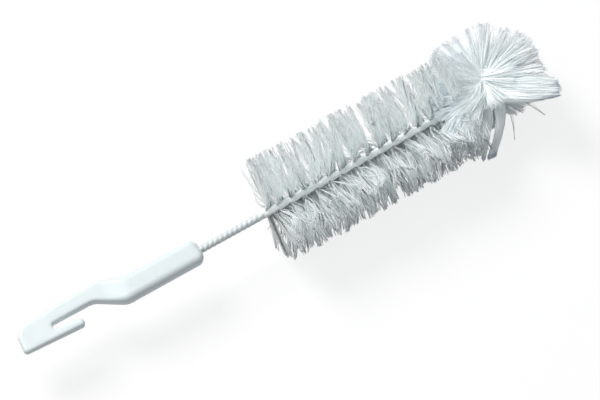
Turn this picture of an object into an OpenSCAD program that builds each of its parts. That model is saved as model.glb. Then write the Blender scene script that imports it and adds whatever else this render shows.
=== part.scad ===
// Bottle brush: a twisted-in-wire brush with a round tuft at its tip and a flat moulded handle.
// The brush lies on its bristles along X, its tip towards +X and its hooked handle clear of the
// surface. The origin is on the surface, under the middle of the whole brush.

/* [Handle] */
// Length of the handle, from its front end to the end of its blade
handle_l = 104.6; // [98:0.2:125]
// Length of the thick grip, along its upper edge
grip_l = 40; // [32:0.5:44]
// Width of the grip
grip_w = 13.4; // [11:0.1:16]
// Thickness of the grip
grip_t = 8.8; // [8:0.1:11]
// Radius of the rounding along the grip's edges
grip_edge_r = 3.4; // [1:0.1:3.8]
// Radius of the grip's two front corners
grip_corner_r = 4.2; // [4:0.1:5]
// Length of the dog-leg between the grip and the arm
dogleg_l = 14.8; // [11:0.2:18]
// How far the dog-leg carries the upper edge sideways
dogleg_offset = 5.3; // [3:0.1:7]
// How far the dog-leg's lower edge trails its upper edge
dogleg_lag = 6; // [4:0.2:8]
// Radius of the four bends of the dog-leg
dogleg_bend_r = 9; // [4:0.5:12]
// Width of the arm where it leaves the dog-leg
arm_w = 9; // [7:0.1:10.5]
// Thickness of the arm where it leaves the dog-leg
arm_t = 6.2; // [5:0.1:7.5]
// Radius of the rounding along the edges of the arm, the finger and the blade
arm_edge_r = 1.6; // [0.5:0.1:1.7]
// How far the upper edge slopes inwards, from the dog-leg to the blade's end
arm_taper = 1.6; // [0:0.1:2.4]
// Width of the blade at its end
blade_w = 14.6; // [13.5:0.1:17]
// Thickness of the blade at its end
blade_t = 4.2; // [3.6:0.1:5]
// Length of the blade's sloping upper corner
corner_l = 5.6; // [3.5:0.1:8]
// Width of the blade's sloping upper corner
corner_w = 4.6; // [3:0.1:6]
// How far the blade's end edge slants
end_slant = 1.4; // [0:0.1:2.4]
// Radius of the blade's corners
blade_corner_r = 2.2; // [1.8:0.1:3]

/* [Hook slot] */
// Distance from the blade's end to the tip of the hook's finger
hook_l = 34.6; // [28:0.2:38]
// Depth of the slot, from the finger's tip to its closed end
slot_l = 15; // [10:0.2:19]
// Width of the slot at its mouth
slot_mouth_w = 4.8; // [4.6:0.1:6]
// Width of the slot at its closed end
slot_root_w = 2.9; // [2:0.1:3.6]
// Width of the finger at its tip
finger_w = 4.1; // [4:0.1:5.5]
// Radius of the finger's two tip corners
finger_corner_r = 1.9; // [1.75:0.05:1.95]

/* [Twisted wire] */
// Thickness of the wire
wire_d = 1.9; // [1.4:0.05:2.2]
// Space between the two strands
strand_gap = 0.3; // [0.25:0.05:0.6]
// Length of bare wire between the handle and the bristles
stem_l = 39; // [25:0.5:70]
// Length of one full twist in the bare stem
stem_lead = 5.8; // [5.2:0.1:9]
// Length of one full twist among the bristles
head_lead = 15.2; // [12:0.1:24]
// Angle at which the first strand leaves the handle, from -Y towards +Z
strand_turn = 33; // [0:1:180]
// Length of wire held inside the handle
socket_l = 20; // [12:0.5:28]
// Clearance all round the wire in the handle's socket
socket_clear = 0.1; // [0.05:0.01:0.2]
// Radius of the ring that the wire's folded end is curled into
ring_r = 5.7; // [5.2:0.1:8]
// How far round the ring the wire goes, in degrees
ring_sweep = 266; // [240:1:270]

/* [Body bristles] */
// Radius of the bristled body
body_r = 29.5; // [20:0.5:40]
// Length of the bristled body
body_l = 118; // [80:1:160]
// Difference between the longest and the shortest bristles
body_trim = 2.4; // [0:0.1:4]
// Width of a bundle of bristles at its tip
body_bundle = 1.9; // [1:0.1:2.2]
// How far a bundle may lean along the brush, in degrees
body_lean = 5; // [0:0.5:6]
// Direction of the parting along the top, from -Y towards +Z
parting_at = 72; // [50:1:110]
// How far the bristles beside the parting are pushed from it, in degrees
parting = 30; // [0:1:36]
// Clearance between the sheet of bristles and each strand
sheet_clear = 0.05; // [0.03:0.01:0.1]

/* [Tip tuft] */
// Length of the tuft's bristles beyond the middle of the wire
tuft_l = 27; // [18:0.5:34]
// Difference between the tuft's longest and shortest bristles
tuft_trim = 3; // [0:0.1:4]
// Width of a bundle of the tuft's bristles at its tip
tuft_bundle = 2; // [1:0.1:2.2]
// How far the tuft's bristles fan up and down from the ring's plane, in degrees
tuft_fan = 40; // [30:1:80]
// How much longer the clump that stands out of the tuft is
clump_l = 5.6; // [0:0.1:6]
// Direction of that clump, from +X towards +Y
clump_at = -38; // [-60:1:60]
// Length of wire between the body's last bristles and the ring's start
tuft_gap = 15.6; // [13:0.1:24]
// Length of that wire which the tuft covers
tuft_start = 5; // [2:0.1:8]
// Clearance between the tuft's base and the wire
tuft_clear = 0.15; // [0.1:0.01:0.3]
// Thickness of the tuft's packed base
tuft_base_t = 0.55; // [0.4:0.05:0.8]

/* [Rest] */
// How far the bristles are pressed flat where they meet the surface
press = 1.5; // [1:0.1:3]

/* [Hidden] */

// Handle: corners of its outline, anticlockwise seen from above, in the brush's own frame,
// where the wire runs along X and leaves the handle at x = 0
grip_y = grip_w / 2;
arm_top_y = grip_y + dogleg_offset;
arm_low_y = arm_top_y - arm_w;
arm_x = -grip_l - dogleg_l;
end_x = -handle_l;
blade_top_y = arm_top_y - arm_taper;
blade_low_y = blade_top_y - blade_w;
hook_x = end_x + hook_l;
slot_x = hook_x - slot_l;
finger_top_y = arm_low_y - slot_mouth_w;
finger_low_y = finger_top_y - finger_w;
slot_root_y = arm_low_y - slot_root_w;
slot_end_r = 0.45 * slot_root_w;
// each corner: place, radius, and whether it has the grip's section
CORNERS = [
    [[0, -grip_y], grip_corner_r, true],
    [[0, grip_y], grip_corner_r, true],
    [[-grip_l, grip_y], dogleg_bend_r, true],
    [[arm_x, arm_top_y], dogleg_bend_r, false],
    [[end_x + corner_l, blade_top_y], blade_corner_r, false],
    [[end_x + end_slant, blade_top_y - corner_w], blade_corner_r, false],
    [[end_x, blade_low_y], blade_corner_r, false],
    [[hook_x, finger_low_y], finger_corner_r, false],
    [[hook_x, finger_top_y], finger_corner_r, false],
    [[slot_x, slot_root_y], slot_end_r, false],
    [[slot_x, arm_low_y], slot_end_r, false],
    [[arm_x - dogleg_lag, arm_low_y], dogleg_bend_r, false],
    [[-grip_l - dogleg_lag, -grip_y], dogleg_bend_r, true],
];
// the same corners by name, in their order round the outline
FRONT_LOW = 0;
FRONT_TOP = 1;
NECK_TOP = 2;
ARM_TOP = 3;
BLADE_TOP = 4;
END_TOP = 5;
END_LOW = 6;
FINGER_LOW = 7;
FINGER_TOP = 8;
SLOT_LOW = 9;
SLOT_TOP = 10;
ARM_LOW = 11;
NECK_LOW = 12;
CORNER_STEP = 16; // degrees of turn for each step round a corner
EDGE_STEPS = 4; // steps in the rounding of an edge
CUT = 1; // how far a cut runs past the face that it opens

// Wire: its centre line is straight, then curls round the ring towards +Y
strand_r = (wire_d + strand_gap) / 2; // from the centre line to the middle of a strand
rope_r = strand_r + wire_d / 2; // outer radius of the two strands together
body_end = stem_l + body_l;
ring_start = body_end + tuft_gap;
wire_end = ring_start + ring_r * ring_sweep * PI / 180;
socket_depth = socket_l + wire_d / 2 + socket_clear; // the strands' ends are cut square to them
lead_change = 6; // the twist slackens over this length, just before the bristles
WIRE_SIDES = 8;
STEM_STEPS = 8; // steps along each full twist of the stem
HEAD_STEPS = 11; // and of the rest of the wire
FOLD_STEPS = 6; // steps round the fold

// Body bristles: a twisted sheet between the strands, whose two edges divide into bundles
sheet_t = strand_gap - 2 * sheet_clear;
sheet_proud = 0.25; // how far the sheet shows past the strands
sheet_r = rope_r + sheet_proud;
bundle_turn = 10; // degrees of twist from one bundle to the next
bundle_n = round(360 * body_l / head_lead / bundle_turn);
bundle_sway = 2; // degrees that a bundle may stray round the brush

// Tip tuft: a packed base round the ring, whose outer face divides into bundles
tuft_in_r = rope_r + tuft_clear;
tuft_out_r = tuft_in_r + tuft_base_t;
tuft_cols = 43; // bundles along the wire
tuft_rows = 8; // bundles round it
BACK_STEP = 30; // degrees of each plain face that closes the base round the ring's inner side
tuft_back = ceil((360 - 2 * tuft_fan) / BACK_STEP);
clump_w = 26; // degrees to each side over which the long clump falls away
tuft_lean = 38; // degrees that the first bundles lean back towards the body
tuft_w0 = ring_start - tuft_start;
tuft_apart = 2.5; // from the end of the body to the plane that the tuft stays clear of
tuft_squeeze = 8; // it is pressed back from that plane over this length
tuft_x_min = body_end + tuft_apart;
tuft_x_bend = tuft_x_min + tuft_squeeze;
end_clear = 0.5; // from the body's last bundles to that plane

axis_h = body_r - press;
mid_x = (ring_start + ring_r + tuft_l + end_x) / 2;
mid_y = (2 * ring_r + tuft_l - body_r) / 2;

CHANCE = rands(-1, 1, 4000, 71);
function chance(i, k) = CHANCE[(i * 7 + k) % len(CHANCE)];

function unit(v) = v / norm(v);
// 0 below 0, then a parabola, then a straight line of slope 1: the integral of a ramp
function ramp_area(q) = q <= 0 ? 0 : q >= 1 ? q - 0.5 : q * q / 2;

// Faces are written anticlockwise seen from outside, and turned round here for polyhedron()
function reversed(faces) = [for (f = faces) [for (i = [len(f) - 1:-1:0]) f[i]]];
function quad(a, b, c, d) = [[a, b, c], [a, c, d]];
// Faces between rings of n points each; the rings follow each other along the right-hand axis
function ring_faces(rings, n) = [
    for (k = [0:rings - 2], i = [0:n - 1])
        let (j = (i + 1) % n)
        each quad(k * n + i, k * n + j, (k + 1) * n + j, (k + 1) * n + i)
];
function run(first, last) = [for (i = [first:last]) i];

// ---- handle ----

function turn_at(a, p, b) = let (u = unit(p - a), v = unit(b - p))
    atan2(u.x * v.y - u.y * v.x, u * v);
function corner_steps(c) = let (n = len(CORNERS),
    turn = turn_at(CORNERS[(c + n - 1) % n][0], CORNERS[c][0], CORNERS[(c + 1) % n][0]))
    max(2, ceil(abs(turn) / CORNER_STEP));
// Points round one corner, each with the outward normal: [point, normal, on the grip]
function corner_points(c) = let (n = len(CORNERS), p = CORNERS[c][0], r = CORNERS[c][1],
    a = CORNERS[(c + n - 1) % n][0], b = CORNERS[(c + 1) % n][0],
    along = unit(p - a), out = atan2(-along.x, along.y), turn = turn_at(a, p, b),
    side = turn > 0 ? 1 : -1, start = p - along * r * tan(abs(turn) / 2),
    centre = start - side * r * [cos(out), sin(out)], steps = corner_steps(c)) [
    for (k = [0:steps])
        let (t = out + turn * k / steps, normal = [cos(t), sin(t)])
        [centre + side * r * normal, normal, CORNERS[c][2]]
];
OUTLINE = [for (c = [0:len(CORNERS) - 1]) each corner_points(c)];
CORNER_FIRST = [for (c = 0, at = 0; c <= len(CORNERS);
    at = at + (c < len(CORNERS) ? corner_steps(c) + 1 : 0), c = c + 1) at];

// Half the thickness at a point of the outline: even on the grip, tapering from the arm on
function half_t(o) = o[2] ? grip_t / 2
    : (arm_t + (blade_t - arm_t) * (o[0].x - arm_x) / (end_x - arm_x)) / 2;
function edge_r(o) = o[2] ? grip_edge_r : arm_edge_r;
// One ring of the handle: the outline drawn in, and raised or lowered from the middle, along the
// quarter circle of its edge
function handle_ring(angle, side) = [
    for (o = OUTLINE)
        let (r = edge_r(o), p = o[0] - o[1] * r * (1 - cos(angle)))
        [p.x, p.y, side * (half_t(o) - r + r * sin(angle))]
];
// The outline's points round a corner, forwards and backwards, and those at its two ends
function ahead(c) = run(CORNER_FIRST[c], CORNER_FIRST[c + 1] - 1);
function back(c) = [for (i = [CORNER_FIRST[c + 1] - 1:-1:CORNER_FIRST[c]]) i];
function first_of(c) = [CORNER_FIRST[c]];
function last_of(c) = [CORNER_FIRST[c + 1] - 1];
// The flat stretches of the handle's top, each between the run of the outline on its right, seen
// along the run, and the run that faces it
FLATS = [
    [concat(ahead(FRONT_TOP), ahead(NECK_TOP)), concat(back(FRONT_LOW), back(NECK_LOW))],
    [concat(last_of(NECK_TOP), first_of(ARM_TOP)), concat(first_of(NECK_LOW), last_of(ARM_LOW))],
    [concat(ahead(ARM_TOP), first_of(BLADE_TOP)), concat(back(ARM_LOW), last_of(SLOT_TOP))],
    [concat(ahead(BLADE_TOP), ahead(END_TOP), ahead(END_LOW)),
     concat(back(SLOT_TOP), back(SLOT_LOW))],
    [concat(last_of(END_LOW), ahead(FINGER_LOW)), concat(first_of(SLOT_LOW), back(FINGER_TOP))],
];
// Triangles between two runs a and b of points, taking the shorter diagonal at each step
function strip(a, b, i = 0, j = 0) =
    i == len(a) - 1 && j == len(b) - 1 ? []
    : let (go_a = j == len(b) - 1 || (i < len(a) - 1
        && norm(OUTLINE[a[i + 1]][0] - OUTLINE[b[j]][0])
           <= norm(OUTLINE[a[i]][0] - OUTLINE[b[j + 1]][0])))
    go_a ? concat([[a[i], a[i + 1], b[j]]], strip(a, b, i + 1, j))
    : concat([[a[i], b[j + 1], b[j]]], strip(a, b, i, j + 1));

module handle_solid() {
    n = len(OUTLINE);
    steps = [for (k = [0:EDGE_STEPS]) 90 * k / EDGE_STEPS];
    low = [for (k = [EDGE_STEPS:-1:0]) handle_ring(steps[k], -1)];
    high = [for (a = steps) handle_ring(a, 1)];
    top = (2 * EDGE_STEPS + 1) * n;
    flats = [for (f = FLATS) each strip(f[0], f[1])];
    faces = concat(ring_faces(2 * EDGE_STEPS + 2, n), reversed(flats),
                   [for (f = flats) [for (i = f) i + top]]);
    polyhedron([for (r = concat(low, high)) each r], reversed(faces), convexity = 6);
}

module handle() {
    color("#ecf4f8") place()
    difference() {
        handle_solid();
        translate([-socket_depth, 0, 0]) rotate([0, 90, 0])
            cylinder(r = rope_r + socket_clear, h = socket_depth + CUT, $fn = 32);
    }
}

// ---- wire ----

// The centre line at length w from the handle: its place, and the directions along it, out of
// the ring (-Y on the straight), and up
function ring_angle(w) = max(w - ring_start, 0) / ring_r * 180 / PI;
function path_at(w) = let (a = ring_angle(w))
    w <= ring_start ? [w, 0, 0]
    : [ring_start + ring_r * sin(a), ring_r - ring_r * cos(a), 0];
function path_dir(w) = let (a = ring_angle(w)) [cos(a), sin(a), 0];
function path_out(w) = let (a = ring_angle(w)) [sin(a), -cos(a), 0];
UP = [0, 0, 1];
function around(w, angle) = cos(angle) * path_out(w) + sin(angle) * UP;
// How far the strands have twisted at w, in degrees
function twist(w) = strand_turn + 360 * (w / stem_lead
    + (1 / head_lead - 1 / stem_lead) * lead_change
    * ramp_area((w - stem_l + lead_change) / lead_change));

stem_n = ceil((socket_l + stem_l) / stem_lead * STEM_STEPS);
head_n = ceil((wire_end - stem_l) / head_lead * HEAD_STEPS);
WIRE_W = concat([for (k = [0:stem_n - 1]) -socket_l + k * (socket_l + stem_l) / stem_n],
                [for (k = [0:head_n]) stem_l + k * (wire_end - stem_l) / head_n]);

// Eight points round a strand, from its middle, its outward direction and its side direction
function strand_ring(middle, out, side) = [
    for (k = [0:WIRE_SIDES - 1])
        let (a = (k + 0.5) * 360 / WIRE_SIDES)
        middle + wire_d / 2 * (cos(a) * out + sin(a) * side)
];
// The direction along a strand at w, for the strand at the given angle from the first
function strand_dir(w, phase) = let (h = 0.01)
    unit(path_at(w + h) + strand_r * around(w + h, twist(w + h) + phase)
         - path_at(w - h) - strand_r * around(w - h, twist(w - h) + phase));
function strand_at(w, phase, way) = let (out = around(w, twist(w) + phase))
    strand_ring(path_at(w) + strand_r * out, out, way * cross(strand_dir(w, phase), out));

module twisted_wire() {
    n = len(WIRE_W);
    out = around(wire_end, twist(wire_end));
    dir = path_dir(wire_end);
    fold = [
        for (k = [1:FOLD_STEPS - 1])
            let (a = 180 * k / FOLD_STEPS, r = cos(a) * out + sin(a) * dir)
            strand_ring(path_at(wire_end) + strand_r * r, r, cross(dir, out))
    ];
    rings = concat([for (w = WIRE_W) strand_at(w, 0, 1)], fold,
                   [for (k = [n - 1:-1:0]) strand_at(WIRE_W[k], 180, -1)]);
    last = (len(rings) - 1) * WIRE_SIDES;
    faces = concat(ring_faces(len(rings), WIRE_SIDES), reversed([run(0, WIRE_SIDES - 1)]),
                   [run(last, last + WIRE_SIDES - 1)]);
    color("#c9d0cf") place()
        polyhedron([for (r = rings) each r], reversed(faces), convexity = 8);
}

// ---- bristles ----

// A point drawn back towards its root, so that it ends on the surface
function to_floor(root, p) = p.z >= -axis_h ? p
    : root + (p - root) * (-axis_h - root.z) / (p.z - root.z);
// The three tip corners of a bundle that ends at p; across and round are its two side directions
function bundle_tip(root, p, across, round_it, size) = [
    for (c = [[-0.5, -0.5], [0.5, -0.5], [0, 0.5]])
        to_floor(root, p + size * (c.x * across + c.y * round_it))
];
// Sides and end of a bundle: root corners a, b, c, d anticlockwise, tip corners p, p + 1, p + 2
function bundle_faces(a, b, c, d, p) = concat(
    quad(a, b, p + 1, p), quad(b, c, p + 2, p + 1), [[c, d, p + 2]],
    quad(d, a, p, p + 2), [[p, p + 1, p + 2]]);

// Body: station k of the sheet, its four corners and the middles of its two faces
function sheet_w(k) = stem_l + k * body_l / bundle_n;
function sheet_dir(w) = around(w, twist(w) + 90);
function sheet_corners(k) = let (w = sheet_w(k), f = sheet_r * sheet_dir(w),
    e = sheet_t / 2 * around(w, twist(w)), c = path_at(w))
    [c + f + e, c + f - e, c - f + e, c - f - e, c + e, c - e];
// A direction round the wire, moved away from the parting if it is less than a right angle off it
function parted(angle) = let (turns = floor((angle - parting_at) / 360 + 0.5),
    off = angle - parting_at - 360 * turns)
    angle + sign(off) * parting * max(0, 1 - abs(off) / 90);
function body_tip(k, side) = let (w = sheet_w(k + 0.5), i = 2 * k + (side > 0 ? 0 : 1),
    angle = parted(twist(w) + side * 90), round_it = around(w, angle + 90),
    root = path_at(w) + side * sheet_r * sheet_dir(w),
    room = atan((body_end - w + tuft_apart - end_clear - body_bundle / 2) / body_r),
    lean = min(body_lean, room) * chance(i, 0),
    length = body_r - sheet_r - body_trim * (1 + chance(i, 1)) / 2,
    dir = unit(around(w, angle) + tan(lean) * path_dir(w)
               + tan(bundle_sway * chance(i, 2)) * round_it))
    bundle_tip(root, root + length * dir, path_dir(w), round_it, body_bundle);

module body_bristles() {
    last = 6 * bundle_n;
    corners = last + 6;
    points = concat([for (k = [0:bundle_n]) each sheet_corners(k)],
                    [for (k = [0:bundle_n - 1], side = [1, -1]) each body_tip(k, side)]);
    faces = concat(
        [for (k = [0:bundle_n - 1]) let (a = 6 * k, b = a + 6, p = corners + 6 * k)
            each concat(quad(a + 2, b + 2, b + 4, a + 4), quad(a + 4, b + 4, b, a),
                        quad(b + 1, b + 5, a + 5, a + 1), quad(b + 5, b + 3, a + 3, a + 5),
                        bundle_faces(a, b, b + 1, a + 1, p),
                        bundle_faces(a + 3, b + 3, b + 2, a + 2, p + 3))],
        quad(0, 1, 5, 4), quad(4, 5, 3, 2),
        quad(last + 2, last + 3, last + 5, last + 4), quad(last + 4, last + 5, last + 1, last));
    color("#f2f6f6") place() polyhedron(points, reversed(faces), convexity = 10);
}

// Tuft: the packed base is a sleeve along the wire, and column i and row j of it bear a bundle
function tuft_w(i) = tuft_w0 + i * (wire_end - tuft_w0) / tuft_cols;
function tuft_angle(j) = j <= tuft_rows ? tuft_fan * (2 * j / tuft_rows - 1)
    : tuft_fan + (360 - 2 * tuft_fan) * (j - tuft_rows) / tuft_back;
function squeezed(x) = x >= tuft_x_bend ? x
    : tuft_x_min + (tuft_x_bend - tuft_x_min) * exp((x - tuft_x_bend) / (tuft_x_bend - tuft_x_min));
function tuft_tip(i, j) = let (w = tuft_w(i + 0.5), a = tuft_angle(j + 0.5), c = i * tuft_rows + j,
    out = around(w, a), root = path_at(w) + tuft_out_r * out,
    lean = -tuft_lean * max(0, 1 - (w - tuft_w0) / tuft_start),
    dir = unit(out * cos(lean) + path_dir(w) * sin(lean)),
    clump = max(0, 1 - abs(ring_angle(w) - 90 - clump_at) / clump_w) * cos(a),
    length = tuft_l - tuft_out_r - tuft_trim * (1 + chance(c, 3)) / 2 + clump_l * clump,
    free = root + length * dir, tip = [squeezed(free.x), free.y, free.z])
    bundle_tip(root, tip, path_dir(w), around(w, a + 90), tuft_bundle);

module tip_bristles() {
    n = tuft_rows + tuft_back;
    inner = n * (tuft_cols + 1);
    tips = 2 * inner;
    sleeve = [
        for (r = [tuft_out_r, tuft_in_r], i = [0:tuft_cols], j = [0:n - 1])
            let (w = tuft_w(i)) path_at(w) + r * around(w, tuft_angle(j))
    ];
    points = concat(sleeve, [for (i = [0:tuft_cols - 1], j = [0:tuft_rows - 1]) each tuft_tip(i, j)]);
    outer_back = [
        for (i = [0:tuft_cols - 1], j = [tuft_rows:n - 1])
            let (a = i * n + j, b = i * n + (j + 1) % n) each quad(a, a + n, b + n, b)
    ];
    bundles = [
        for (i = [0:tuft_cols - 1], j = [0:tuft_rows - 1]) let (a = i * n + j)
            each bundle_faces(a, a + n, a + n + 1, a + 1, tips + 3 * (i * tuft_rows + j))
    ];
    bore = [
        for (i = [0:tuft_cols - 1], j = [0:n - 1])
            let (a = inner + i * n + j, b = inner + i * n + (j + 1) % n)
            each quad(a, b, b + n, a + n)
    ];
    last = tuft_cols * n;
    ends = [
        for (j = [0:n - 1]) let (b = (j + 1) % n)
            each concat(quad(j, b, inner + b, inner + j),
                        quad(last + j, inner + last + j, inner + last + b, last + b))
    ];
    color("#fafcfc") place()
        polyhedron(points, reversed(concat(outer_back, bundles, bore, ends)), convexity = 10);
}

// ---- the whole brush ----

// Lays the brush on its bristles, with the origin under the middle of its length and width
module place() {
    translate([-mid_x, -mid_y, axis_h]) children();
}

handle();
twisted_wire();
body_bristles();
tip_bristles();
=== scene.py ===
"""Bottle brush: the finished look of the handle, the twisted wire and the nylon filaments.

The brush's own frame has the wire along X, leaving the handle at x = 0, and millimetres for units.
Points are worked out there, then laid() puts them into the row's frame, in metres.
"""
import math

import bpy
import numpy as np
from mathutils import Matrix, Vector
from mathutils.geometry import delaunay_2d_cdt


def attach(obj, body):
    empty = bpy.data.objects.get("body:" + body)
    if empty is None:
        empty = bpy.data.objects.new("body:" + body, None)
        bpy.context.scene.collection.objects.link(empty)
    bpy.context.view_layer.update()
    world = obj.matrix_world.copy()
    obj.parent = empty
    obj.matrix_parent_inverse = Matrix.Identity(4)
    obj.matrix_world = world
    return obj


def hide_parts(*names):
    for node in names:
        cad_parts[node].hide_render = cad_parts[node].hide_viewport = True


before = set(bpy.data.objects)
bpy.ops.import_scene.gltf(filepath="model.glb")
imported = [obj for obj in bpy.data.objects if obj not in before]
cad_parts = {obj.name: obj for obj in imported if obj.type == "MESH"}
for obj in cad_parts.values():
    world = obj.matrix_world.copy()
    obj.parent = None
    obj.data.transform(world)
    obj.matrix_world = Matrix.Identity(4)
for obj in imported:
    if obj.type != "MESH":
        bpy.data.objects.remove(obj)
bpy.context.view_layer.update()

# ---- sizes of the brush, in millimetres, as the solids have them ----

MID_X, MID_Y, AXIS_H = 50.35, 4.45, 28.0
STRAND_R, WIRE_R = 1.1, 0.95
ROPE_R = STRAND_R + WIRE_R
STEM_L, STEM_LEAD, HEAD_LEAD, LEAD_CHANGE = 39.0, 5.8, 15.2, 6.0
STRAND_TURN = 33.0  # degrees, where the strands leave the handle
SOCKET_L = 20.0
BODY_L, BODY_R = 118.0, 29.5
BODY_END = STEM_L + BODY_L
RING_START, RING_R, RING_SWEEP = 172.6, 5.7, 266.0
WIRE_END = RING_START + RING_R * math.radians(RING_SWEEP)
UP = np.array([0.0, 0.0, 1.0])
PARTING, PARTING_AT = math.radians(34), math.radians(72)


def laid(points):
    """Points of the brush's own frame, moved to the row's frame and turned into metres."""
    return (np.asarray(points) + [-MID_X, -MID_Y, AXIS_H]) * 0.001


def smooth(q):
    """0 below 0, 1 above 1, and three q squared less two q cubed between."""
    q = np.clip(q, 0.0, 1.0)
    return q * q * (3.0 - 2.0 * q)


def unit(v):
    """Each vector divided by its length."""
    return v / np.linalg.norm(v, axis=-1, keepdims=True)


# ---- materials ----


class Value:
    """A socket that carries a number; arithmetic on it adds the Math nodes that work it out."""

    def __init__(self, maker, socket):
        self.maker, self.socket = maker, socket

    def maths(self, operation, *others):
        return self.maker.node("ShaderNodeMath", {"operation": operation}, self, *others)[0]

    def __add__(self, other):
        return self.maths("ADD", other)

    def __mul__(self, other):
        return self.maths("MULTIPLY", other)

    def __sub__(self, other):
        return self.maths("SUBTRACT", other)

    def __rsub__(self, other):
        return self.maker.node("ShaderNodeMath", {"operation": "SUBTRACT"}, other, self)[0]

    __radd__ = __add__


class Finish:
    """A material, or a world, under construction: node() makes any node, and the rest are its
    common uses."""

    def __init__(self, name, kind=bpy.data.materials):
        self.owner = kind.new(name)
        self.owner.use_nodes = True
        self.tree = self.owner.node_tree
        self.tree.nodes.clear()

    def node(self, kind, settings=None, *values, **named):
        """Makes a node: its settings first, then its sockets by place, then its sockets by name."""
        made = self.tree.nodes.new(kind)
        for key, setting in (settings or {}).items():
            if key == "stops":
                ramp = made.color_ramp
                while len(ramp.elements) < len(setting):
                    ramp.elements.new(0.5)
                for element, (place, colour) in zip(ramp.elements, setting):
                    element.position, element.color = place, (*colour, 1.0)
            else:
                setattr(made, key, setting)
        places = list(enumerate(values)) + [(k.replace("_", " "), v) for k, v in named.items()]
        for place, value in places:
            if value is None:
                continue
            if isinstance(value, Value):
                self.tree.links.new(value.socket, made.inputs[place])
            else:
                made.inputs[place].default_value = value
        return [Value(self, socket) for socket in made.outputs]

    def blended(self, factor, low, high):
        """A colour that goes from low to high with factor."""
        return self.node(
            "ShaderNodeMix", {"data_type": "RGBA"}, factor, None, None, None, None, None, low, high
        )[2]

    def noise(self, where, scale, detail=2.0, roughness=0.5):
        """A cloudy number, about 0.5 on average."""
        return self.node(
            "ShaderNodeTexNoise", None, where, Scale=scale, Detail=detail, Roughness=roughness
        )[0]

    def ends(self, shader):
        """Makes shader the surface, and returns the material."""
        self.node("ShaderNodeOutputMaterial", None, shader)
        return self.owner


def moulded_plastic():
    """Glossy white plastic: a faint cloudy tone and the slow waviness of a moulded face."""
    f = Finish("moulded_plastic")
    where = f.node("ShaderNodeTexCoord")[3]
    cloud = f.noise(where, 90.0)
    grain = f.noise(where, 2600.0, 3.0, 0.6)
    wave = f.noise(where, 160.0, 1.0)
    normal = f.node("ShaderNodeBump", None, Strength=0.10, Distance=0.0002, Height=wave + grain * 0.06)[0]
    return f.ends(
        f.node(
            "ShaderNodeBsdfPrincipled",
            None,
            Base_Color=f.blended(cloud, (0.656, 0.726, 0.746, 1), (0.705, 0.763, 0.779, 1)),
            Roughness=0.24 + cloud * 0.10 + grain * 0.08,
            IOR=1.49,
            Coat_Weight=0.25,
            Coat_Roughness=0.12,
            Normal=normal,
        )[0]
    )


# from here on the wire's colour turns whiter into the head: painted light, for the light the nylon around it
# gives back
HEAD_GLOW_START = STEM_L - 4  # where the wire's coating turns whiter


def wire_coating():
    """Satin white coating on steel, with fine runs in it: greyer along the bare stem, and whiter in the head,
    where the extra white is painted light that stands in for the light the nylon around the wire gives back."""
    f = Finish("wire_coating")
    where = f.node("ShaderNodeTexCoord")[3]
    cloud = f.noise(where, 420.0, 3.0)
    grain = f.noise(where, 5000.0, 2.0)
    normal = f.node("ShaderNodeBump", None, Strength=0.25, Distance=0.0001, Height=cloud + grain * 0.3)[0]
    x = f.node("ShaderNodeSeparateXYZ", None, where)[0]
    glow_share = f.node("ShaderNodeClamp", None, (x - 0.001 * (HEAD_GLOW_START - MID_X)) * 120.0)[0]
    bare = f.blended(cloud, (0.57, 0.62, 0.63, 1), (0.68, 0.73, 0.73, 1))
    # the head's whiter colour is painted light: it stands in for the light that the nylon round the wire
    # gives back
    head_white_with_painted_glow = f.blended(cloud, (0.92, 0.96, 0.96, 1), (0.97, 0.995, 0.995, 1))
    return f.ends(
        f.node(
            "ShaderNodeBsdfPrincipled",
            None,
            Base_Color=f.blended(glow_share, bare, head_white_with_painted_glow),
            Roughness=0.30 + cloud * 0.18,
            IOR=1.5,
            Coat_Weight=0.15,
            Normal=normal,
        )[0]
    )


def nylon(name, dull, clear, end, through):
    """Nylon filament: the map's u picks a filament's tone between dull and clear, and its v runs
    along the filament, whose sheared end is greyer. Through is the share of the light that
    scatters inside it."""
    f = Finish(name)
    u, v, _ = f.node("ShaderNodeSeparateXYZ", None, f.node("ShaderNodeUVMap", {"uv_map": MAP})[0])
    tone = f.noise(f.node("ShaderNodeCombineXYZ", None, u * 57.0, v * 1.5, 0.0)[0], 1.0, 1.0)
    tone = (tone - 0.28) * 2.2
    colour = f.blended(f.node("ShaderNodeClamp", None, tone)[0], dull, clear)
    tip = f.node("ShaderNodeClamp", None, (v - 0.93) * 15.0)[0]
    colour = f.blended(tip, colour, end)
    streak = f.node("ShaderNodeClamp", None, (0.12 - tone) * 6.0)[0]
    streak = streak * f.node("ShaderNodeClamp", None, (v - 0.5) * 3.0)[0]
    colour = f.blended(streak, colour, end)
    return f.ends(
        f.node(
            "ShaderNodeBsdfPrincipled",
            None,
            Base_Color=colour,
            Roughness=0.30 + tone * 0.12,
            IOR=1.53,
            Subsurface_Weight=through,
            Subsurface_Radius=(1.0, 1.0, 1.0),
            Subsurface_Scale=0.003,
        )[0]
    )


# ---- meshes ----

MAP = "OFBake"  # the UV map that the filaments' materials read


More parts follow.
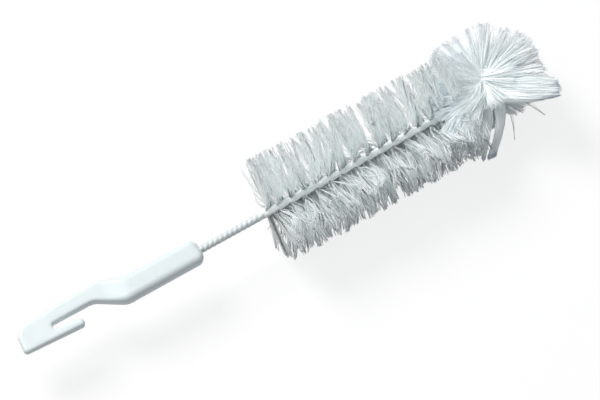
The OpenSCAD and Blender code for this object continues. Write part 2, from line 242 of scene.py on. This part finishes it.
def piece(name, points, faces, material, replaced, uv=None):
    """A mesh, finished and riding the brush. Faces are an array of four-cornered ones, each left
    flat, or a list of any, smoothed into each other."""
    mesh = bpy.data.meshes.new(name)
    if isinstance(faces, list):
        mesh.from_pydata(points.tolist(), [], faces)
    else:
        mesh.vertices.add(len(points))
        mesh.vertices.foreach_set("co", points.astype(np.float32).ravel())
        mesh.loops.add(faces.size)
        mesh.loops.foreach_set("vertex_index", faces.astype(np.int32).ravel())
        mesh.polygons.add(len(faces))
        mesh.polygons.foreach_set("loop_start", np.arange(0, faces.size, 4, dtype=np.int32))
    mesh.update(calc_edges=True)
    mesh.polygons.foreach_set("use_smooth", np.full(len(mesh.polygons), isinstance(faces, list)))
    if uv is not None:
        layer = mesh.uv_layers.new(name=MAP)
        layer.data.foreach_set("uv", uv.astype(np.float32).ravel())
    mesh.validate()
    made = bpy.data.objects.new(name, mesh)
    bpy.context.scene.collection.objects.link(made)
    made.data.materials.append(material)
    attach(made, "root")
    if replaced:
        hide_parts(replaced)
    return made


SIDES = 4  # of a filament
COLUMNS, COLUMN_EDGE, COLUMN_USED = 256, 0.15, 0.7  # of the map, and shares of a column's width


def filaments(name, paths, radius, tones, material, replaced, rng):
    """Closed four-sided tubes along many paths at once. paths is (filaments, points, 3), in
    millimetres; radius is one number a filament. Each ring is the path's point plus radius times
    the cosine and sine of four even angles, on two directions square to the path. A filament's
    faces lie in one of the map's COLUMNS, which its tone picks."""
    n, m, _ = paths.shape
    ahead = unit(np.gradient(paths, axis=1))
    first = unit(np.cross(ahead[:, -1], unit(rng.normal(size=(n, 3)))))[:, None, :]
    first = unit(first - np.sum(first * ahead, axis=2, keepdims=True) * ahead)
    second = np.cross(ahead, first)
    angle = np.arange(SIDES) * 2.0 * math.pi / SIDES
    thick = radius[:, None] * np.interp(np.arange(m) / (m - 1), [0, 0.9, 1], [1, 1, 0.85])
    ring = (
        np.cos(angle)[:, None] * first[:, :, None, :] + np.sin(angle)[:, None] * second[:, :, None, :]
    )
    points = laid(paths[:, :, None, :] + thick[:, :, None, None] * ring).reshape(-1, 3)
    k = np.arange(SIDES)
    low = np.arange(m - 1)[:, None] * SIDES
    side = np.stack([low + k, low + (k + 1) % SIDES, low + SIDES + (k + 1) % SIDES, low + SIDES + k], -1)
    caps = np.array([k[::-1], (m - 1) * SIDES + k])
    one = np.concatenate([side.reshape(-1, SIDES), caps])
    faces = (np.arange(n)[:, None, None] * m * SIDES + one).reshape(-1, SIDES)
    along = np.stack([low, low, low + SIDES, low + SIDES], -1) / SIDES / (m - 1.0)
    along = np.broadcast_to(along, side.shape).reshape(-1, SIDES)
    across = np.stack([k, k + 1, k + 1, k], -1)[None] / SIDES * COLUMN_USED
    across = np.broadcast_to(across, side.shape).reshape(-1, SIDES)
    v = np.concatenate([along, [[0, 0, 0.01, 0.01], [0.99, 0.99, 1, 1]]])
    u = np.concatenate([across, [[0, COLUMN_USED, COLUMN_USED, 0]] * 2])
    column = np.floor(tones * COLUMNS).clip(0, COLUMNS - 1)
    uv = np.empty((n, *u.shape, 2))
    uv[..., 0] = (column[:, None, None] + COLUMN_EDGE + u) / COLUMNS
    uv[..., 1] = v
    return piece(name, points, faces, material, replaced, uv.reshape(-1, 2))


# ---- the wire's centre line ----


def ring_angle(w):
    """How far round the ring the wire has gone, length w from the handle, in radians."""
    return np.maximum(w - RING_START, 0.0) / RING_R


def path_at(w):
    """The centre line: straight along X, then round the ring towards +Y."""
    a = ring_angle(w)
    x = np.minimum(w, RING_START) + RING_R * np.sin(a)
    return np.stack([x, RING_R - RING_R * np.cos(a), 0 * a], -1)


def path_dir(w):
    """The direction along the centre line."""
    a = ring_angle(w)
    return np.stack([np.cos(a), np.sin(a), 0 * a], -1)


def around(w, angle):
    """The direction square to the wire, at an angle from the ring's outside towards +Z."""
    a = ring_angle(w)
    out = np.stack([np.sin(a), -np.cos(a), 0 * a], -1)
    return np.cos(angle)[..., None] * out + np.sin(angle)[..., None] * UP


def twist(w):
    """How far the strands have turned at w, in radians: one turn in STEM_LEAD, slackening evenly
    over LEAD_CHANGE to one turn in HEAD_LEAD."""
    q = (w - STEM_L + LEAD_CHANGE) / LEAD_CHANGE
    slack = np.where(q <= 0, 0.0, np.where(q >= 1, q - 0.5, q * q / 2)) * LEAD_CHANGE
    turns = w / STEM_LEAD + (1 / HEAD_LEAD - 1 / STEM_LEAD) * slack
    return math.radians(STRAND_TURN) + 2 * math.pi * turns


GROOVE = 0.12  # how deep the coating leaves the twist's grooves
BARE_END = 4.0  # how far before the ring the coating ends, having thinned over twice that length


def twisted_wire():
    """One round wire: a circle carried along one strand, round the fold and back along the other.
    A strand is the centre line plus STRAND_R in the twist's direction. The coating fills the
    grooves: a point of the circle at angle a goes to angle a/2 seen from the centre line, at ROPE_R
    less GROOVE times the squared sine of a/2. Near the ring it thins out, and the circle stays."""
    w = np.concatenate(
        [np.arange(-SOCKET_L, STEM_L, 0.24), np.arange(STEM_L, WIRE_END, 0.6), [WIRE_END]]
    )
    out = around(w, twist(w))
    go = path_at(w) + STRAND_R * out
    back = path_at(w) - STRAND_R * out
    a = np.linspace(0, math.pi, 14)[1:-1, None]
    fold = path_at(w[-1:]) + STRAND_R * (np.cos(a) * out[-1] + np.sin(a) * path_dir(w[-1:]))
    line = np.concatenate([go, fold, back[::-1]])
    outward = np.concatenate([out, unit(fold - path_at(w[-1:])), -out[::-1]])
    ahead = unit(np.gradient(line, axis=0))
    outward = unit(outward - np.sum(outward * ahead, axis=1, keepdims=True) * ahead)
    aside = np.cross(ahead, outward)
    sides = 20
    angle = (np.arange(sides) + 0.5) * 2 * math.pi / sides - math.pi
    ring = np.cos(angle)[:, None] * outward[:, None] + np.sin(angle)[:, None] * aside[:, None]
    reach = (ROPE_R - GROOVE * np.sin(angle / 2) ** 2)[:, None]
    half = angle[:, None] / 2
    full = reach * (np.cos(half) * outward[:, None] + np.sin(half) * aside[:, None])
    share = smooth((RING_START - BARE_END - w) / (2 * BARE_END))
    share = np.concatenate([share, 0 * a[:, 0], share[::-1]])[:, None, None]
    bare = WIRE_R * ring
    points = line[:, None] + bare + share * (full - STRAND_R * outward[:, None] - bare)
    points = laid(points).reshape(-1, 3)
    n = len(line)
    k, low = np.arange(sides), np.arange(n - 1)[:, None] * sides
    faces = np.stack([low + k, low + (k + 1) % sides, low + sides + (k + 1) % sides, low + sides + k], -1)
    faces = faces.reshape(-1, 4).tolist() + [k[::-1].tolist(), ((n - 1) * sides + k).tolist()]
    return piece("wire", points, faces, wire_coating(), "twisted_wire")


# ---- filaments ----


def wisps(count, least, most, rng):
    """Cuts a row of filaments into wisps of random sizes; returns each filament's wisp."""
    sizes = rng.integers(least, most + 1, count)
    edges = np.cumsum(sizes)
    return np.searchsorted(edges, np.arange(count), side="right")


def averaged(values, group):
    """Each value's mean over its group."""
    return (np.bincount(group, values) / np.maximum(np.bincount(group), 1))[group]


def on_surface(root, tip, rng):
    """Where a straight filament would end below the surface, its end is spread sideways, at the
    same length, until it lies on the surface."""
    reach = tip - root
    length = np.linalg.norm(reach, axis=1)
    floor_z = -AXIS_H + 0.25 + 0.3 * rng.random(len(tip))
    low = tip[:, 2] < floor_z
    drop = np.clip(floor_z - root[:, 2], -0.98 * length, None)
    level = np.hypot(reach[:, 0], reach[:, 1]) + 1e-6
    wanted = np.sqrt(length**2 - drop**2)
    spread = root + np.stack(
        [reach[:, 0] / level * wanted, reach[:, 1] / level * wanted, drop], -1
    )
    return np.where(low[:, None], spread, tip)


def curved(root, start, tip, steps):
    """Filaments that leave root along start and bend evenly to end at tip: root, plus the share f
    of start, plus f squared of what then remains to the tip."""
    f = np.linspace(0, 1, steps + 1)[None, :, None] ** 0.9
    return root[:, None] + f * start[:, None] + f * f * (tip - root - start)[:, None]


def parted(angle, share):
    """The bristles part along the top: a direction round the wire, off the parting by less than a
    right angle, moves away from it by up to PARTING."""
    off = (angle - PARTING_AT + math.pi) % (2 * math.pi) - math.pi
    push = PARTING * share * np.clip(1 - np.abs(off) / (math.pi / 2), 0, 1)
    return angle + np.where(off < 0, -push, push)


def clamped(at, leave, slide, start, tip, steps):
    """Filaments whose roots the strands clamp: from the middle of the wire out to its surface, slide
    along from there, then along the curve to the tip."""
    middle = path_at(at)
    edge = middle + ROPE_R * leave + slide[:, None] * path_dir(at)
    return np.concatenate([middle[:, None], curved(edge, start, tip, steps)], 1)


BODY_COUNT = 1900  # filaments, each of which stands out both ways
TOOTH, LOCK = (14, 44), (3, 10)  # how many neighbours shift as one, and draw their ends together
SLIT_FIRST, SLIT_GROWTH = 0.07, 0.31  # how far the fans draw together, and how much more at the tip


def body_filaments():
    """The bristled body: filaments clamped at their middles between the strands. They stand out
    square to the wire, both ways, and turn with the twist. A tooth is a run of neighbours that
    shifts as one, and a lock is a few of them whose ends draw together."""
    rng = np.random.default_rng(11)
    count = BODY_COUNT
    w = STEM_L + 0.5 + (BODY_L - 1.0) * (np.arange(count) + 0.5) / count
    material = nylon(
        "body_nylon", (0.94, 0.975, 0.98, 1), (0.985, 0.999, 1.0, 1), (0.66, 0.72, 0.75, 1), 1.0
    )
    ways = (0.5, "bristles_one_way", "body_bristles"), (-0.5, "bristles_other_way", None)
    for side, name, replaced in ways:
        at = w + rng.normal(0, 0.4, count)
        tooth, lock = wisps(count, *TOOTH, rng), wisps(count, *LOCK, rng)
        teeth, locks = tooth.max() + 1, lock.max() + 1
        sheet = twist(at) + math.pi * side
        loose = sheet + rng.normal(0, 0.07, count)
        angle = parted(loose, rng.uniform(0.5, 1.25, locks)[lock])
        low = (np.sin(loose - PARTING_AT) < 0).astype(float)
        drawn = 0.2 + 0.6 * low
        tip_angle = angle + drawn * (averaged(angle, 2 * lock + low.astype(int)) - angle)
        along = rng.normal(0, 1.4, teeth)[tooth]
        along = along + rng.uniform(-3.8, 3.8, locks)[lock] * (1 - 0.3 * low)
        along = along + rng.normal(0, 0.35, count)
        turn = rng.normal(0, 3, teeth)[tooth] + rng.normal(0, 5, locks)[lock]
        turn = turn + rng.normal(0, 1.5, count)
        wild = np.where(rng.random(locks) < 0.16, rng.uniform(-0.7, 0.7, locks), 0)[lock]
        leaning = 0.25 * low + wild + rng.normal(0, 0.28, locks)[lock] * (0.5 + 0.5 * low)
        leaning += rng.normal(0, 0.08, count)
        room = np.clip((at - STEM_L) / 6, 0, 1), np.clip((BODY_END + 6 - at) / 8, 0, 1)
        # the upper ones draw together where they leave the wire, so that slits open between the fans
        off = (loose - PARTING_AT + math.pi) % (2 * math.pi) - math.pi
        q = (at - STEM_L) / BODY_L
        open_by = SLIT_FIRST + SLIT_GROWTH * q
        slide = -open_by * (1 - low) * (off - math.pi / 2) * HEAD_LEAD / (2 * math.pi)
        slide += rng.uniform(-1, 1, locks)[lock] * np.where(low > 0, 0.56, 2.0 - 1.2 * q)
        slide += rng.normal(0, 0.2, count)
        slide *= np.where(slide < 0, *room)
        along *= np.where(along < 0, *room)
        leaning *= np.where(leaning < 0, *room)
        first = np.clip(1 - (at - STEM_L) / 8, 0, 1)
        along += 5.0 * (1 - low) * first
        leaning += 0.15 * (1 - low) * first
        along = along[:, None] * path_dir(at)
        length = BODY_R - 1.5 * rng.random(teeth)[tooth] - 1.2 * rng.random(count)
        shorter = np.where(rng.random(count) < 0.06, rng.uniform(1, 7, count), 0)
        length -= shorter + 1.5 * low * rng.random(locks)[lock]
        leave = around(at, parted(loose, rng.uniform(0.6, 1.1, locks)[lock] + 0.5 * low))
        out = unit(0.35 * leave + around(at, angle)) + leaning[:, None] * path_dir(at)
        drawn_on = (0.6 * slide * (1 - low))[:, None] * path_dir(at)
        start = (length * 0.85)[:, None] * out + along + drawn_on
        tip = path_at(at) + length[:, None] * around(at, tip_angle + np.radians(turn)) + along
        tip = on_surface(path_at(at), tip, rng)
        paths = clamped(at, leave, slide, start, tip, 5)
        radius = rng.uniform(0.16, 0.25, count) * (1 + 0.12 * low)
        tones = rng.random(locks)[lock] * 0.5 + rng.random(count) * 0.5
        filaments(name, paths, radius, tones, material, replaced, rng)


# how far the tuft's filaments end from the middle of the ring, by the direction from +X towards
# +Y: those that lie level or above it, and those that hang below it
HIGH_AT = np.radians([-140, -48, -42, -35, -29, -24, -10, 5, 16, 31, 44, 53, 64, 79, 92, 106, 115, 128, 176])
HIGH = np.array(
    [30.0, 34, 41, 40.5, 39.5, 35.5, 33.6, 35.8, 36.6, 35.5, 33.5, 34.3, 34.6, 30.5, 30, 31.5, 31.5, 29.5, 30]
)
LOW_AT = np.radians([-150, -120, -104, -94, -90, -86, -78, -70, -62, -57, -30, 176])
LOW = np.array([31.0, 29.0, 27.5, 25.5, 22.5, 22.5, 26.4, 27.3, 27.0, 28.5, 29.0, 29.0])
DRIFT = np.array([-0.243, -0.398, 0.0])  # how a layer's ends shift for each step upwards
GAPS = np.radians([46, 68, 79])  # where the tuft's rim is split


FAN_COUNT, BACK_COUNT, CROSS_COUNT = 3400, 2600, 900  # filaments of the tuft's three parts
LIFTS = np.array([15.0, 0.0, -28.0, 34.0])  # degrees that each layer of the fan rises
LAYER_SHARES = [0.34, 0.34, 0.2, 0.12]


def pointing(azimuth, lift):
    """The direction at an azimuth from +X towards +Y, lifted from the level."""
    return np.stack(
        [np.cos(azimuth) * np.cos(lift), np.sin(azimuth) * np.cos(lift), np.sin(lift) + 0 * azimuth], -1
    )


def tuft_part(name, at, start, tip, lock, material, replaced, rng):
    """Fine filaments of the tuft, from the curled wire at length at, along start, to their tips."""
    tones = rng.random(lock.max() + 1)[lock] * 0.5 + rng.random(len(at)) * 0.5
    root = path_at(at)
    paths = curved(root, start, on_surface(root, tip, rng), 6)
    filaments(name, paths, rng.uniform(0.12, 0.18, len(at)), tones, material, replaced, rng)


def tuft_filaments():
    """The tip tuft: finer filaments clamped along the curled wire. Their outer halves fan out
    round the ring in layers, and their inner halves cross it and lie back over the body."""
    rng = np.random.default_rng(23)
    material = nylon(
        "tip_nylon", (0.955, 0.985, 0.995, 1), (0.985, 1.0, 1.0, 1), (0.60, 0.65, 0.71, 1), 0.0
    )
    # a copy of the tip nylon with paler ends and streaks, for the parts that lie back over the body and
    # across the ring: painted light, lifting filaments that lie in the tuft's own shade
    paler_ended_nylon = nylon(
        "tip_nylon_painted_paler", (0.955, 0.985, 0.995, 1), (0.985, 1.0, 1.0, 1), (0.84, 0.89, 0.92, 1), 0.0
    )
    middle = np.array([RING_START, RING_R, 0.0])

    # outer halves: azimuth round the ring, and a layer that lifts them
    count = FAN_COUNT
    at = np.sort(rng.uniform(RING_START - 5, WIRE_END + 0.4, count))
    azimuth = ring_angle(at) - math.pi / 2 - np.radians(30) * np.clip((RING_START - at) / 5, 0, 1)
    layer = rng.choice(4, count, p=LAYER_SHARES)
    layer = np.where((layer == 3) & (azimuth < np.radians(85)), 2, layer)
    lock = 4 * wisps(count, 6, 26, rng) + layer
    locks = lock.max() + 1
    shift = rng.normal(0, 4, locks)[lock] + rng.normal(0, 2, count)
    tip_azimuth = azimuth + 0.6 * (averaged(azimuth, lock) - azimuth) + np.radians(shift)
    high = layer < 2
    # the upper ones of the first quarter gather into a clump that stands out of the rim
    first = high & (azimuth < np.radians(-24))
    tip_azimuth = np.where(first, np.radians(-41.5) + 0.2 * (azimuth + np.radians(85)), tip_azimuth)
    tip_azimuth += np.radians(rng.normal(0, 0.8, count)) * first
    for gap in GAPS:
        off = tip_azimuth - gap
        moved = np.radians(4.5) * np.clip(1 - np.abs(off) / np.radians(12), 0, 1)
        tip_azimuth += np.sign(off) * moved * (rng.random(count) < 0.93)
    lift = LIFTS[layer] + rng.normal(0, 7, locks)[lock] + rng.normal(0, 5, count)
    lift = np.radians(np.where(first, 0.6 * lift + 5, lift))
    below = np.interp(tip_azimuth, LOW_AT, LOW)
    reach = np.where(layer == 2, below, np.interp(tip_azimuth, HIGH_AT, HIGH))
    reach = reach + 0.5 - 2.6 * rng.random(locks)[lock] - 1.8 * rng.random(count)
    short = high & (rng.random(count) < 0.12)
    reach *= np.where(layer == 3, 0.7, np.where(short, rng.uniform(0.5, 0.95, count), 1.0))
    level = pointing(tip_azimuth, 0 * lift)
    tip = middle + reach[:, None] * level
    drift = np.where(lift > 0, 1.0, 0.5 - 0.5 * np.sin(tip_azimuth))[:, None] * DRIFT + [0, 0, 1.0]
    tip += ((reach - RING_R) * np.tan(lift))[:, None] * drift
    start_azimuth = azimuth + 0.7 * (tip_azimuth - azimuth) * first
    start = ((reach - RING_R) * 0.9)[:, None] * pointing(start_azimuth, 1.25 * lift)
    tuft_part("tuft", at, start, tip, lock, material, "tip_bristles", rng)

    # inner halves that lie back over the body and hide the wire
    count = BACK_COUNT
    share = np.arange(count) / count
    lock = wisps(count, 5, 18, rng)
    locks = lock.max() + 1
    at = RING_START + 9 - 26 * np.clip(share + rng.normal(0, 0.2, locks)[lock], 0, 1)
    way = np.radians(118 + 132 * share + rng.normal(0, 9, locks)[lock] + rng.normal(0, 4, count))
    droop = np.clip((way - np.radians(205)) / np.radians(50), 0, 1)
    lift = np.radians(rng.uniform(10, 26, locks)[lock] + rng.normal(0, 3, count)) - 0.15 * droop
    size = rng.uniform(18, 25, locks)[lock] + 3 * droop - 2.5 * rng.random(count)
    tip = path_at(at) + size[:, None] * pointing(way, lift)
    start = (0.7 * size)[:, None] * pointing(way, lift + 0.3)
    tuft_part("tuft_over_body", at, start, tip, lock, paler_ended_nylon, None, rng)

    # inner halves that cross over and under the ring
    count = CROSS_COUNT
    at = np.sort(rng.uniform(RING_START + 2, WIRE_END + 0.4, count))
    lock = wisps(count, 5, 16, rng)
    locks = lock.max() + 1
    azimuth = ring_angle(at) + math.pi / 2
    over = np.where(rng.random(locks) < 0.5, 1.0, -1.0)[lock]
    lift = over * np.radians(rng.uniform(6, 20, locks)[lock] + rng.normal(0, 4, count))
    tip_azimuth = azimuth + np.radians(rng.normal(0, 14, locks)[lock] + rng.normal(0, 4, count))
    size = 25.0 - 2.5 * rng.random(count)
    tip = path_at(at) + size[:, None] * pointing(tip_azimuth, lift)
    start = (size * 0.6)[:, None] * pointing(azimuth, 2.0 * lift)
    tuft_part("tuft_across_ring", at, start, tip, lock, paler_ended_nylon, None, rng)

    # bundles that hang from the ring's start, and two strays: first and last root along the wire,
    # direction of the start, tip, the tips' spread, how many
    bundles = [
        ((169.5, 176.5), (0.42, -0.88, 0.30), (158.8, -27.2, -14.5), (2.4, 0.8, 1.6), 330),
        ((166.0, 171.5), (-0.05, -0.95, 0.30), (154.4, -26.0, -15.0), (0.8, 1.0, 1.2), 90),
        ((171.0, 175.0), (0.75, -0.65, 0.15), (174.5, -24.5, -16.0), (0.3, 0.3, 0.3), 3),
        ((174.0, 178.0), (0.72, -0.69, 0.05), (193.2, -23.4, -9.0), (0.4, 0.4, 0.3), 3),
    ]
    for number, (span, way, end, spread, count) in enumerate(bundles):
        at = rng.uniform(*span, count)
        tip = np.array(end) + rng.uniform(-1, 1, (count, 3)) * spread
        size = np.linalg.norm(tip - path_at(at), axis=1)
        start = (0.9 * size)[:, None] * unit(np.array(way) + rng.normal(0, 0.06, (count, 3)))
        lock = np.arange(count) // 8
        tuft_part("tuft_bundle_%d" % (number + 1), at, start, tip, lock, material, None, rng)


# ---- handle ----

GRIP_T, ARM_T, BLADE_T = 8.8, 6.2, 4.2
GRIP_EDGE, ARM_EDGE = 3.4, 1.6
ARM_X, END_X = -54.8, -104.6
DOG_LEG = 14.8  # its length, over which the grip eases into the arm
# corners of the outline, anticlockwise from above: x, y, and the radius of the corner
CORNERS = [
    (0, -6.7, 4.2), (0, 6.7, 4.2), (-40, 6.7, 9), (ARM_X, 12, 9), (-99, 10.4, 2.2),
    (-103.2, 5.8, 2.2), (END_X, -4.2, 2.2), (-70, -5.9, 1.9), (-70, -1.8, 1.9),
    (-85, 0.1, 1.3), (-85, 3, 1.3), (-60.8, 3, 9), (-46, -6.7, 9),
]


def outline():
    """The handle's outline and its outward normals: each corner is an arc that touches its two
    straight sides, and the sides are divided evenly."""
    corners = np.array([c[:2] for c in CORNERS], float)
    radii = np.array([c[2] for c in CORNERS])
    before, after = np.roll(corners, 1, 0), np.roll(corners, -1, 0)
    go, leave = unit(corners - before), unit(after - corners)
    turn = np.arctan2(go[:, 0] * leave[:, 1] - go[:, 1] * leave[:, 0], np.sum(go * leave, 1))
    points, normals = [], []
    for i in range(len(corners)):
        steps = max(4, int(abs(math.degrees(turn[i])) / 6))
        side = math.copysign(1, turn[i])
        begin = math.atan2(-go[i, 0], go[i, 1])
        start = corners[i] - go[i] * radii[i] * math.tan(abs(turn[i]) / 2)
        centre = start - side * radii[i] * np.array([math.cos(begin), math.sin(begin)])
        a = begin + turn[i] * np.arange(steps + 1) / steps
        normal = np.stack([np.cos(a), np.sin(a)], -1)
        points.append(centre + side * radii[i] * normal)
        normals.append(normal)
    full, full_normals = [], []
    for i in range(len(points)):
        full.append(points[i])
        full_normals.append(normals[i])
        a, b = points[i][-1], points[(i + 1) % len(points)][0]
        cuts = int(np.linalg.norm(b - a) / 1.2)
        f = (np.arange(1, cuts) / max(cuts, 1))[:, None]
        full.append(a + f * (b - a))
        full_normals.append(np.repeat(normals[i][-1:], len(f), 0))
    return np.concatenate(full), np.concatenate(full_normals)


def half_thickness(x):
    """Half the handle's thickness at x: even on the grip, easing down over the dog-leg to the arm,
    then tapering to the blade's end."""
    taper = ARM_T + (BLADE_T - ARM_T) * (x - ARM_X) / (END_X - ARM_X)
    return (taper + (GRIP_T - taper) * smooth((x - ARM_X) / DOG_LEG)) / 2


def handle():
    """The moulding: rings of the outline, drawn in along the quarter circle of the edge and raised
    with it, and flats across the last ring that follow half_thickness."""
    line, normal = outline()
    n = len(line)
    edge = ARM_EDGE + (GRIP_EDGE - ARM_EDGE) * smooth((line[:, 0] - ARM_X) / DOG_LEG)
    steps = 9
    rings = []
    for a in np.linspace(0, math.pi / 2, steps):
        flat = line - normal * (edge * (1 - math.cos(a)))[:, None]
        z = half_thickness(flat[:, 0]) - edge + edge * math.sin(a)
        rings.append(np.column_stack([flat, z]))
    inner = rings[-1][:, :2]
    grid = np.stack(np.meshgrid(np.arange(END_X, 0, 1.3), np.arange(-8, 13, 1.3)), -1).reshape(-1, 2)
    a, b = inner, np.roll(inner, -1, 0)
    gap = grid[:, None] - a[None]
    side = (b - a)[None]
    share = np.clip(np.sum(gap * side, 2) / np.maximum(np.sum(side * side, 2), 1e-9), 0, 1)
    near = np.linalg.norm(gap - share[..., None] * side, axis=2).min(1)
    crossing = ((a[None, :, 1] > grid[:, None, 1]) != (b[None, :, 1] > grid[:, None, 1])) & (
        grid[:, None, 0]
        < (b - a)[None, :, 0] * (grid[:, None, 1] - a[None, :, 1]) / ((b - a)[None, :, 1] + 1e-12)
        + a[None, :, 0]
    )
    grid = grid[(crossing.sum(1) % 2 == 1) & (near > 0.5)]
    flat_points = [Vector(p) for p in np.concatenate([inner, grid])]
    cut = delaunay_2d_cdt(flat_points, [], [list(range(n))], 1, 1e-6)
    places = np.array([tuple(p) for p in cut[0]])
    source = [o[0] if o else -1 for o in cut[3]]
    top = np.column_stack([places, half_thickness(places[:, 0])])
    points = [r * [1, 1, -1] for r in rings[::-1]] + rings
    count = 2 * steps * n
    low_index = [s if 0 <= s < n else count + i for i, s in enumerate(source)]
    last, after = (2 * steps - 1) * n, count + len(top)
    high_index = [s + last if 0 <= s < n else after + i for i, s in enumerate(source)]
    points = np.concatenate(points + [top * [1, 1, -1], top])
    faces = []
    for r in range(2 * steps - 1):
        k = np.arange(n)
        next_k = (k + 1) % n
        row = [r * n + k, r * n + next_k, (r + 1) * n + next_k, (r + 1) * n + k]
        faces += np.stack(row, -1).tolist()
    for f in cut[2]:
        up = [high_index[i] for i in f]
        down = [low_index[i] for i in f][::-1]
        faces += [up, down]
    used = sorted({i for f in faces for i in f})
    new = {old: i for i, old in enumerate(used)}
    faces = [[new[i] for i in f] for f in faces]
    points = laid(points[used])
    return piece("grip_and_hook", points, faces, moulded_plastic(), "handle")


handle()
twisted_wire()
body_filaments()
tuft_filaments()

# ---- stage, light and camera ----

AIM = Vector((0.0049, -0.01125, 0.0387))
AZIMUTH, ELEVATION = math.radians(-31.4), math.radians(65)
BACK = Vector(
    (
        math.sin(AZIMUTH) * math.cos(ELEVATION),
        -math.cos(AZIMUTH) * math.cos(ELEVATION),
        math.sin(ELEVATION),
    )
)


SHADOW_SHARE = 0.2  # of the floor as it is seen, the share that is lit, and so keeps the shadow


def seen_rays(f):
    """1 for the rays that show the background: to the camera, in gloss and through glass."""
    path = f.node("ShaderNodeLightPath")
    camera_ray, glossy_ray, transmission_ray = path[0], path[3], path[6]
    return f.node("ShaderNodeClamp", None, camera_ray + glossy_ray + transmission_ray)[0]


def studio_floor():
    """A pale floor. It looks white, and darker where the brush keeps the light off it. The light
    that it gives back to the brush is that of a mid grey."""
    f = Finish("studio_floor")
    cloud = f.noise(f.node("ShaderNodeTexCoord")[3], 3.0)
    grey = f.blended(cloud, (0.35, 0.35, 0.35, 1), (0.37, 0.37, 0.37, 1))
    grey = f.node("ShaderNodeBsdfDiffuse", None, grey)[0]
    pale = f.blended(cloud, (0.93, 0.93, 0.93, 1), (0.97, 0.97, 0.97, 1))
    lit = f.node("ShaderNodeBsdfDiffuse", None, pale)[0]
    white = f.node("ShaderNodeEmission", None, (1, 1, 1, 1), 1.0)[0]
    shown = f.node("ShaderNodeMixShader", None, SHADOW_SHARE, white, lit)[0]
    return f.ends(f.node("ShaderNodeMixShader", None, seen_rays(f), grey, shown)[0])


HALF_FLOOR = 1.6  # half the floor's side, in metres
corners = [[x * HALF_FLOOR, y * HALF_FLOOR, 0] for x, y in ((-1, -1), (1, -1), (1, 1), (-1, 1))]
mesh = bpy.data.meshes.new("floor")
mesh.from_pydata(corners, [], [[0, 1, 2, 3]])
floor = bpy.data.objects.new("floor", mesh)
bpy.context.scene.collection.objects.link(floor)
floor.data.materials.append(studio_floor())

scene = bpy.context.scene
world = Finish("studio", bpy.data.worlds)
sky = world.node("ShaderNodeBackground", None, (0.92, 0.97, 1, 1), 0.38)[0]
white = world.node("ShaderNodeBackground", None, (1, 1, 1, 1), 1.0)[0]
shown = world.node("ShaderNodeMixShader", None, seen_rays(world), sky, white)[0]
world.node("ShaderNodeOutputWorld", None, shown)
scene.world = world.owner


def lamp(name, towards, distance, size, power, colour):
    """A square soft box that shines at the brush from a direction."""
    data = bpy.data.lights.new(name, "AREA")
    data.size, data.energy, data.color = size, power, colour
    made = bpy.data.objects.new(name, data)
    direction = Vector(towards).normalized()
    made.location = AIM + direction * distance
    made.rotation_euler = direction.to_track_quat("Z", "Y").to_euler()
    scene.collection.objects.link(made)


lamp("key", (-0.2, 0.62, 0.75), 2.0, 0.9, 40.4, (1.0, 0.99, 0.97))
lamp("fill", (-0.85, -0.25, 0.5), 2.0, 0.8, 2.5, (0.95, 0.98, 1.0))

DISTANCE, WIDTH = 2.2, 0.3042
camera_data = bpy.data.cameras.new("camera")
camera_data.sensor_width = 36
camera_data.lens = 36 * DISTANCE / WIDTH
camera_data.clip_end = 20
camera = bpy.data.objects.new("camera", camera_data)
camera.location = AIM + BACK * DISTANCE
camera.rotation_euler = BACK.to_track_quat("Z", "Y").to_euler()
scene.collection.objects.link(camera)
scene.camera = camera
scene.view_settings.view_transform = "Standard"

# light goes from filament to filament many times, which is what makes white nylon look white
BOUNCES = 32
scene.cycles.diffuse_bounces = scene.cycles.max_bounces = BOUNCES
